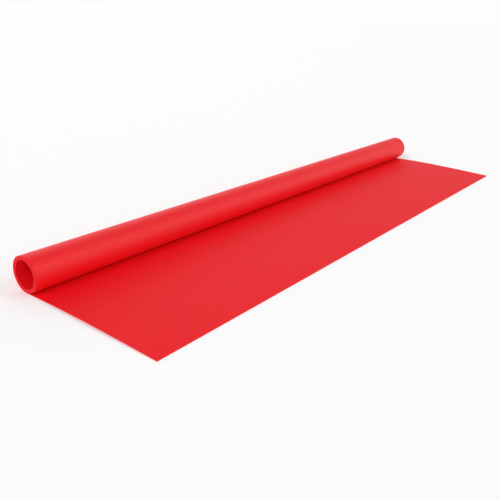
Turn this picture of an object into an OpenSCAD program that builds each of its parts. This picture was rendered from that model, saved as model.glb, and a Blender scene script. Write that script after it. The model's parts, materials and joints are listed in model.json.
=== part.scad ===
// A coreless roll of backdrop paper that lies on a floor, with the free end
// of its web drawn out in front of it as a flat sheet.
//
// Frame: the origin is the centre of the roll. +X runs along the roll, +Z is
// up and the sheet lies towards -Y, so the floor is one roll radius below.
// The roll is one continuous web. It is cut here into the stretches that do
// different work: the flat sheet, the outer turns that it lifts off from, the
// tight turns that spin as it pays out, and the inner turns round the hollow.

/* [Web of paper] */
// Width of the web, which is also the length of the roll
web_width = 1350; // [300:50:2700]
// Thickness of one layer of paper
paper_thickness = 0.19; // [0.15:0.01:0.3]
// Radial room that one turn takes, with the air that it traps
turn_pitch = 0.27; // [0.2:0.01:0.4]
// How far in front of the roll's axis the sheet's cut edge lies
sheet_reach = 304; // [150:2:600]

/* [Roll] */
// Outside diameter of the roll
roll_diameter = 65; // [50:1:120]
// Thickness of the whole winding, from the hollow to the outside
winding_thickness = 7.5; // [5:0.25:12]
// How many turns the outer turns and the inner turns stand for
loose_turns = 3; // [2:1:5]
// Radial gap in which the tight turns spin inside the outer turns
running_gap = 0.1; // [0.05:0.01:0.1]

/* [Hidden] */
roll_radius = roll_diameter / 2;
hollow_radius = roll_radius - winding_thickness;
loose_thickness = loose_turns * turn_pitch;
outer_turns_radius = roll_radius - loose_thickness;
tight_turns_radius = outer_turns_radius - running_gap;
inner_turns_radius = hollow_radius + loose_thickness;
floor_z = -roll_radius;
lead_length = roll_radius / 4;
joint_overlap = 1;
round_sides = 96;
paper_red = [0.82, 0.06, 0.07];
shaded_red = [0.72, 0.03, 0.04];
deep_red = [0.60, 0.02, 0.03];

// A tube about the roll's axis, as long as the web is wide.
module turns(outer_radius, inner_radius) {
    rotate([0, 90, 0])
        difference() {
            cylinder(r = outer_radius, h = web_width, center = true, $fn = round_sides);
            cylinder(r = inner_radius, h = web_width + 2 * joint_overlap, center = true, $fn = round_sides);
        }
}

// One flat layer of paper on the floor, between two distances in front of the axis.
module flat_layer(from_y, to_y) {
    translate([-web_width / 2, -to_y, floor_z])
        cube([web_width, to_y - from_y, paper_thickness]);
}

// The free end of the web, drawn out flat and cut off square.
module unrolled_sheet() {
    color(paper_red)
        flat_layer(lead_length, sheet_reach);
}

// The last turns of the web, with the line under the roll where it leaves them.
module outer_turns() {
    color(shaded_red)
        union() {
            turns(roll_radius, outer_turns_radius);
            flat_layer(0, lead_length);
        }
}

// The tight winding, which turns as the sheet is pulled out or rolled up.
module wound_turns() {
    color(deep_red)
        turns(tight_turns_radius, inner_turns_radius);
}

// The first turns of the web, whose inside is the hollow that a bar goes through.
module inner_turns() {
    color(shaded_red)
        turns(inner_turns_radius, hollow_radius);
}

unrolled_sheet();
outer_turns();
wound_turns();
inner_turns();
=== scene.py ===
"""A roll of red backdrop paper on a pale studio floor, with its free end drawn out in front of it.

The web is one continuous strip of paper: a flat sheet, then a spiral of turns. Every stretch of it is
built by paper_strip() from a line in the Y-Z plane, with the paper's own thickness and cut edges.
"""

import json
import math

import bpy
import numpy as np
from mathutils import Matrix, Vector


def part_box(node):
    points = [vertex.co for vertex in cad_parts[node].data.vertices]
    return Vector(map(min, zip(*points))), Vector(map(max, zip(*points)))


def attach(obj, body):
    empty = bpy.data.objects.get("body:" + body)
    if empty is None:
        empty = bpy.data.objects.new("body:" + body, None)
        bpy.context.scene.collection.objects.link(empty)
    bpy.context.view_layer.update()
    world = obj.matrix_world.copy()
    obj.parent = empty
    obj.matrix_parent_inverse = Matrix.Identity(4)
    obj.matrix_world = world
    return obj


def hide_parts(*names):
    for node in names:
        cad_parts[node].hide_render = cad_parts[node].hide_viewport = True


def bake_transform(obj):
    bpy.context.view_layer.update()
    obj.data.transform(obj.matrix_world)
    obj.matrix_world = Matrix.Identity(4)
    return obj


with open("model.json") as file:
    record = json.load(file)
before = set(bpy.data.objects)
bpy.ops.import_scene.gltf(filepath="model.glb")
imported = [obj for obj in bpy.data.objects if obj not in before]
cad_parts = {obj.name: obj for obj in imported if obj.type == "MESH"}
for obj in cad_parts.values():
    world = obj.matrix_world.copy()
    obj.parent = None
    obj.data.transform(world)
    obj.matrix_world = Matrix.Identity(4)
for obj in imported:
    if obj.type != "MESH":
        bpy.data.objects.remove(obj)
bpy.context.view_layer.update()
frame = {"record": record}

MM = 0.001

# Sizes from the frame, in metres.
SHEET_LOW, SHEET_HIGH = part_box("unrolled_sheet")
ROLL_LOW, ROLL_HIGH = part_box("outer_turns")
MOUNTS = {mount["name"]: mount for mount in frame["record"]["mounts"]}
ROLL_LENGTH = ROLL_HIGH.x - ROLL_LOW.x
ROLL_RADIUS = -ROLL_LOW.z
HOLLOW_RADIUS = MOUNTS["hollow"]["dims"]["r_mm"] * MM
PAPER = SHEET_HIGH.z - SHEET_LOW.z
FLOOR_Z = SHEET_LOW.z
FRONT_Y = SHEET_LOW.y

# How the web is wound. A turn takes up TURN_PITCH of the radius, and SLACK keeps the tight winding clear of
# the last turns. The web's inner end comes INNER_END_TURN of a turn after the last whole turn, and over its
# last INNER_LIFT_TURN of a turn it comes to stand off by INNER_LIFT.
TURN_PITCH = 0.27 * MM
OUTER_TURNS = 2
INNER_TURNS = 3
SLACK = 0.02 * MM
INNER_END_TURN = 0.8
INNER_LIFT = 0.6 * MM
INNER_LIFT_TURN = 0.1

# How unevenly it is wound: how far wander() goes at most, and its waves of (radians a turn, share, phase).
GAP_WANDER = 0.03 * MM
GAP_WAVES = ((2.3, 1, 0), (7.9, 0.4, 1))
SIDE_WANDER = 0.275 * MM
SIDE_WAVES = ((1.7, 0.5, 0), (4.1, 0.3, 0), (13.3, 0.3, 0))

# How the sheet lies: it leaves the roll rising, arches over the floor and lands on its cut edge.
LEAVE_ANGLE = math.radians(2.7)
LAND_ANGLE = math.radians(1.65)

# How finely the meshes are divided, in steps along the web and rows across it. Turns that show have more
# rows than hidden ones. An edge is sharp where its faces meet at EDGE_ANGLE or more.
SHEET_STEPS = 80
STEPS_PER_TURN = 128
SHEET_ROWS = 120
SHOWN_ROWS = 24
HIDDEN_ROWS = 2
EDGE_ANGLE = math.radians(60)

# The paper's colour, in linear light, and how much it and the roughness vary.
PAPER_RED = (0.88, 0.0025, 0.0085)
CUT_RED = (0.93, 0.028, 0.036)
COLOUR_SPREAD = 0.05
ROUGHNESS_SPREAD = 0.06

# How fine the paper's structure is, in lumps for each metre along X, Y and Z, and how deep its fibres are.
DYE_CLOUDS = (45, 45, 45)
WEB_STREAKS = (260, 6, 6)
FIBRES = (900, 900, 900)
FIBRE_TOOTH = 0.04 * MM

# The floor and the room. The room fades from its low strength to its high one between two heights, each
# the sine of an angle above the horizon.
FLOOR_HALF = 20
FLOOR_GAP = 0.2 * MM
FLOOR_WHITE = (0.92, 0.92, 0.92, 1)
FLOOR_GLOW = 0.13
ROOM_FADE_START = 0.3
ROOM_FADE_END = 0.6

# The camera: where its line of sight meets the floor, and from where it looks.
LOOK_AT = Vector((-0.2764, -0.1501, FLOOR_Z))
CAMERA_DISTANCE = 1.1976
CAMERA_AZIMUTH = math.radians(-52.79)
CAMERA_ELEVATION = math.radians(22.358)
CAMERA_ROLL = math.radians(2.557)
CAMERA_LENS = 43.694


def paper_strip(name, line, rows, thickness, shift=None):
    """A closed strip of paper that runs across X and follows line, which is a list of (y, z) points.

    rows are the places along X, and shift is how far each point of the line stands off to the side.
    """
    centre = np.array(line, float)
    tangent = np.gradient(centre, axis=0)
    tangent /= np.linalg.norm(tangent, axis=1)[:, None]
    normal = np.stack([-tangent[:, 1], tangent[:, 0]], axis=1)
    across = np.array(rows, float)
    side = np.zeros(len(centre)) if shift is None else np.array(shift, float)
    layers = []
    for sign in (1, -1):
        edge = centre + sign * normal * thickness / 2
        grid = np.zeros((len(centre), len(across), 3))
        grid[:, :, 0] = across[None, :] + side[:, None]
        grid[:, :, 1] = edge[:, 0, None]
        grid[:, :, 2] = edge[:, 1, None]
        layers.append(grid.reshape(-1, 3))
    return strip_mesh(name, np.concatenate(layers), len(centre), len(across))


def strip_mesh(name, points, steps, rows):
    """The mesh of a strip from its two layers of points.

    Material 0 is the face towards the roll's axis, 1 is the face away from it, and 2 is the cut edges.
    """
    under = steps * rows

    def at(i, j):
        return i * rows + j

    faces, slots = [], []
    for i in range(steps - 1):
        for j in range(rows - 1):
            quad = (at(i, j), at(i, j + 1), at(i + 1, j + 1), at(i + 1, j))
            faces.append(quad)
            faces.append(tuple(under + k for k in reversed(quad)))
            slots += [0, 1]
    rim = [at(i, 0) for i in range(steps)]
    rim += [at(steps - 1, j) for j in range(1, rows)]
    rim += [at(i, rows - 1) for i in range(steps - 2, -1, -1)]
    rim += [at(0, j) for j in range(rows - 2, 0, -1)]
    for a, b in zip(rim, rim[1:] + rim[:1]):
        faces.append((a, b, under + b, under + a))
        slots.append(2)
    mesh = bpy.data.meshes.new(name)
    mesh.from_pydata(points.tolist(), [], faces)
    mesh.polygons.foreach_set("use_smooth", [True] * len(faces))
    mesh.polygons.foreach_set("material_index", slots)
    mesh.update()
    mesh.set_sharp_from_angle(angle=EDGE_ANGLE)
    piece = bpy.data.objects.new(name, mesh)
    bpy.context.scene.collection.objects.link(piece)
    return piece


def on_roll(radius, turn):
    """The point of the roll's cross-section at a radius, turn radians on from where the web lifts off."""
    angle = turn - LEAVE_ANGLE
    return radius * math.sin(angle), -radius * math.cos(angle)


def sheet_line():
    """The sheet's centre line from the cut edge to the roll: a cubic with a slope given at each end."""
    end_y, end_z = on_roll(ROLL_RADIUS - PAPER / 2, 0)
    start_y, start_z = FRONT_Y, FLOOR_Z + PAPER / 2
    run = end_y - start_y
    line = []
    for i in range(SHEET_STEPS + 1):
        s = i / SHEET_STEPS
        z = start_z * (1 + 2 * s) * (1 - s) ** 2 + end_z * (3 - 2 * s) * s**2
        z += run * math.tan(LAND_ANGLE) * s * (1 - s) ** 2
        z += run * math.tan(LEAVE_ANGLE) * (1 - s) * s**2
        line.append((start_y + run * s, z))
    return line


def wander(turns, most, waves):
    """How far the web stands off its even course after that many turns: a sum of waves, never over most."""
    total = sum(share for rate, share, phase in waves)
    return most / total * sum(share * math.sin(rate * turns + phase) for rate, share, phase in waves)


def gap_wander(turns):
    """How far the web stands off the even spiral, as the gaps between turns aren't all alike."""
    return wander(turns, GAP_WANDER, GAP_WAVES)


def side_wander(turns):
    """How far the web stands off to the side: nothing where it leaves the roll."""
    return wander(turns, SIDE_WANDER, SIDE_WAVES)


def spiral(first_radius, pitch, turns, start_turns):
    """Points and side shifts of a wound stretch of the web, from its outer end inwards.

    start_turns is how many turns of the roll come before the stretch, from where the web lifts off.
    """
    count = round(turns * STEPS_PER_TURN)
    line, shift = [], []
    for i in range(count + 1):
        done = turns * i / count
        place = start_turns + done
        radius = first_radius - pitch * done + gap_wander(place) - gap_wander(start_turns)
        line.append(on_roll(radius, 2 * math.pi * place))
        shift.append(side_wander(place))
    return line, shift


def lift_inner_end(line):
    """Stand the last stretch of a wound line off the turn behind it, towards the roll's axis."""
    count = round(INNER_LIFT_TURN * STEPS_PER_TURN)
    start = len(line) - 1 - count
    for i in range(count + 1):
        y, z = line[start + i]
        shrink = 1 - INNER_LIFT * (i / count) ** 2 / math.hypot(y, z)
        line[start + i] = (y * shrink, z * shrink)


def even_rows(count):
    """Places along X that divide the roll's length into count equal parts."""
    return [ROLL_LENGTH * (j / count - 0.5) for j in range(count + 1)]


def add_node(tree, kind, **values):
    """A new shader node, with constants set on the sockets that the keywords name."""
    node = tree.nodes.new(kind)
    for socket, value in values.items():
        node.inputs[socket.replace("_", " ")].default_value = value
    return node


def paper_noise(tree, stretch, detail):
    """Noise from 0 to 1 in the piece's own space. stretch is its lumps in a metre along X, Y and Z."""
    place = add_node(tree, "ShaderNodeTexCoord")
    scaled = add_node(tree, "ShaderNodeMapping", Scale=stretch)
    noise = add_node(tree, "ShaderNodeTexNoise", Scale=1, Detail=detail, Roughness=0.6)
    tree.links.new(place.outputs["Object"], scaled.inputs["Vector"])
    tree.links.new(scaled.outputs["Vector"], noise.inputs["Vector"])
    return noise.outputs["Fac"]


def weighted_sum(tree, parts):
    """The sum of several noises, each with its own weight."""
    total = None
    for value, weight in parts:
        node = tree.nodes.new("ShaderNodeMath")
        node.operation = "MULTIPLY" if total is None else "MULTIPLY_ADD"
        tree.links.new(value, node.inputs[0])
        node.inputs[1].default_value = weight
        if total is not None:
            tree.links.new(total, node.inputs[2])
        total = node.outputs[0]
    return total


def paper_material(name, colour, gloss, roughness, tooth):
    """Dyed paper: clouds of uneven dye, streaks along the web, and fibres that give its face a tooth.

    gloss is the specular level, and tooth is how deep the fibres are, in metres.
    """
    mat = bpy.data.materials.new(name)
    mat.use_nodes = True
    tree = mat.node_tree
    shader = tree.nodes["Principled BSDF"]
    clouds = paper_noise(tree, DYE_CLOUDS, 2)
    streaks = paper_noise(tree, WEB_STREAKS, 2)
    fibres = paper_noise(tree, FIBRES, 4)

    shade = add_node(tree, "ShaderNodeMapRange", To_Min=1 - COLOUR_SPREAD, To_Max=1 + COLOUR_SPREAD)
    dye = weighted_sum(tree, [(clouds, 0.5), (streaks, 0.25), (fibres, 0.25)])
    tree.links.new(dye, shade.inputs["Value"])
    dyed = tree.nodes.new("ShaderNodeVectorMath")
    dyed.operation = "SCALE"
    dyed.inputs[0].default_value = colour
    tree.links.new(shade.outputs["Result"], dyed.inputs["Scale"])
    tree.links.new(dyed.outputs["Vector"], shader.inputs["Base Color"])

    smoothest, roughest = roughness - ROUGHNESS_SPREAD, roughness + ROUGHNESS_SPREAD
    rough = add_node(tree, "ShaderNodeMapRange", To_Min=smoothest, To_Max=roughest)
    finish = weighted_sum(tree, [(clouds, 0.6), (fibres, 0.4)])
    tree.links.new(finish, rough.inputs["Value"])
    tree.links.new(rough.outputs["Result"], shader.inputs["Roughness"])
    shader.inputs["Specular IOR Level"].default_value = gloss

    bump = add_node(tree, "ShaderNodeBump", Strength=1, Distance=tooth)
    relief = weighted_sum(tree, [(fibres, 0.8), (streaks, 0.2)])
    tree.links.new(relief, bump.inputs["Height"])
    tree.links.new(bump.outputs["Normal"], shader.inputs["Normal"])
    return mat


def paper_finishes():
    """The paper's three materials, in the order of strip_mesh's slots."""
    fine = FIBRE_TOOTH / 2
    matt = paper_material("red_paper_matt_side", PAPER_RED, gloss=0.22, roughness=0.62, tooth=FIBRE_TOOTH)
    glazed = paper_material("red_paper_glazed_side", PAPER_RED, gloss=0.47, roughness=0.54, tooth=fine)
    cut = paper_material("red_paper_cut_edge", CUT_RED, gloss=0.2, roughness=0.65, tooth=FIBRE_TOOTH)
    return matt, glazed, cut


def build_web():
    """The whole web in its four stretches, each in place of one CAD node, with the bodies they ride on."""
    finishes = paper_finishes()
    sheet = paper_strip("drawn_out_sheet", sheet_line(), even_rows(SHEET_ROWS), PAPER)
    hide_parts("unrolled_sheet")

    line, shift = spiral(ROLL_RADIUS - PAPER / 2, TURN_PITCH, OUTER_TURNS, 0)
    outer = paper_strip("outer_turns_of_web", line, even_rows(SHOWN_ROWS), PAPER, shift)
    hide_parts("outer_turns")

    tight_radius = ROLL_RADIUS - OUTER_TURNS * TURN_PITCH - PAPER - GAP_WANDER - SLACK - PAPER / 2
    depth = tight_radius - PAPER / 2 - HOLLOW_RADIUS
    all_turns = math.floor(depth / TURN_PITCH) + INNER_END_TURN
    pitch = depth / all_turns
    tight_turns = math.floor(all_turns) - INNER_TURNS
    line, shift = spiral(tight_radius, pitch, tight_turns, OUTER_TURNS)
    tight = paper_strip("wound_turns_of_web", line, even_rows(HIDDEN_ROWS), PAPER, shift)
    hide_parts("wound_turns")

    first = tight_radius - tight_turns * pitch
    line, shift = spiral(first, pitch, all_turns - tight_turns, OUTER_TURNS + tight_turns)
    lift_inner_end(line)
    inner = paper_strip("inner_turns_of_web", line, even_rows(SHOWN_ROWS), PAPER, shift)
    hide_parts("inner_turns")

    for piece in (sheet, outer, tight, inner):
        for material in finishes:
            piece.data.materials.append(material)
    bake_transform(sheet)
    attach(outer, "roll_shell")
    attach(tight, "wound_roll")
    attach(inner, "wound_roll")


def add_floor():
    """A pale floor a little below the sheet, so that the two never share a plane."""
    mesh = bpy.data.meshes.new("floor")
    half = FLOOR_HALF
    corners = [(-half, -half, 0), (half, -half, 0), (half, half, 0), (-half, half, 0)]
    mesh.from_pydata(corners, [], [(0, 1, 2, 3)])
    floor = bpy.data.objects.new("floor", mesh)
    floor.location.z = FLOOR_Z - FLOOR_GAP
    bpy.context.scene.collection.objects.link(floor)
    mat = bpy.data.materials.new("pale_floor")
    mat.use_nodes = True
    shader = mat.node_tree.nodes["Principled BSDF"]
    shader.inputs["Base Color"].default_value = FLOOR_WHITE
    shader.inputs["Roughness"].default_value = 0.8
    shader.inputs["Specular IOR Level"].default_value = 0.2
    shader.inputs["Emission Color"].default_value = (1, 1, 1, 1)
    shader.inputs["Emission Strength"].default_value = FLOOR_GLOW
    mesh.materials.append(mat)


def add_world(high, low):
    """A plain pale room: high is its strength overhead, and low is its strength at the horizon and below."""
    world = bpy.data.worlds.new("studio")
    world.use_nodes = True
    tree = world.node_tree
    place = add_node(tree, "ShaderNodeTexCoord")
    axes = add_node(tree, "ShaderNodeSeparateXYZ")
    start, end = ROOM_FADE_START, ROOM_FADE_END
    fall = add_node(tree, "ShaderNodeMapRange", From_Min=start, From_Max=end, To_Min=low, To_Max=high)
    fall.interpolation_type = "SMOOTHSTEP"
    background = tree.nodes["Background"]
    background.inputs["Color"].default_value = (1, 1, 1, 1)
    tree.links.new(place.outputs["Generated"], axes.inputs["Vector"])
    tree.links.new(axes.outputs["Z"], fall.inputs["Value"])
    tree.links.new(fall.outputs["Result"], background.inputs["Strength"])
    bpy.context.scene.world = world


def add_light(name, azimuth, elevation, width, strength):
    """A round softbox so far off that it lights the floor evenly. Its angles and width are in degrees.

    Azimuth 0 is in front, towards -Y, and 90 is towards +X.
    """
    data = bpy.data.lights.new(name, "SUN")
    data.angle = math.radians(width)
    data.energy = strength
    a, e = math.radians(azimuth), math.radians(elevation)
    towards = Vector((math.sin(a) * math.cos(e), -math.cos(a) * math.cos(e), math.sin(e)))
    light = bpy.data.objects.new(name, data)
    light.rotation_euler = towards.to_track_quat("Z", "Y").to_euler()
    bpy.context.scene.collection.objects.link(light)


def add_camera():
    """A camera CAMERA_DISTANCE from LOOK_AT and turned towards it, then tilted by CAMERA_ROLL."""
    a, e = CAMERA_AZIMUTH, CAMERA_ELEVATION
    back = Vector((math.sin(a) * math.cos(e), -math.cos(a) * math.cos(e), math.sin(e)))
    right = (-back).cross(Vector((0, 0, 1))).normalized()
    up = right.cross(-back)
    tilted_right = right * math.cos(CAMERA_ROLL) + up * math.sin(CAMERA_ROLL)
    tilted_up = up * math.cos(CAMERA_ROLL) - right * math.sin(CAMERA_ROLL)
    data = bpy.data.cameras.new("camera")
    data.lens = CAMERA_LENS
    data.sensor_width = 36
    camera = bpy.data.objects.new("camera", data)
    turn = Matrix((tilted_right, tilted_up, back)).transposed()
    camera.matrix_world = Matrix.Translation(LOOK_AT + back * CAMERA_DISTANCE) @ turn.to_4x4()
    bpy.context.scene.collection.objects.link(camera)
    bpy.context.scene.camera = camera


bpy.context.scene.view_settings.view_transform = "Standard"
add_camera()
build_web()
add_floor()
add_world(high=0.35, low=0.98)
add_light("right_softbox", azimuth=35, elevation=35, width=35, strength=0.5)
add_light("front_left_softbox", azimuth=-45, elevation=40, width=25, strength=0.3)
add_light("left_softbox", azimuth=-95, elevation=42, width=20, strength=0.92)
add_light("back_softbox", azimuth=150, elevation=30, width=60, strength=0.52)
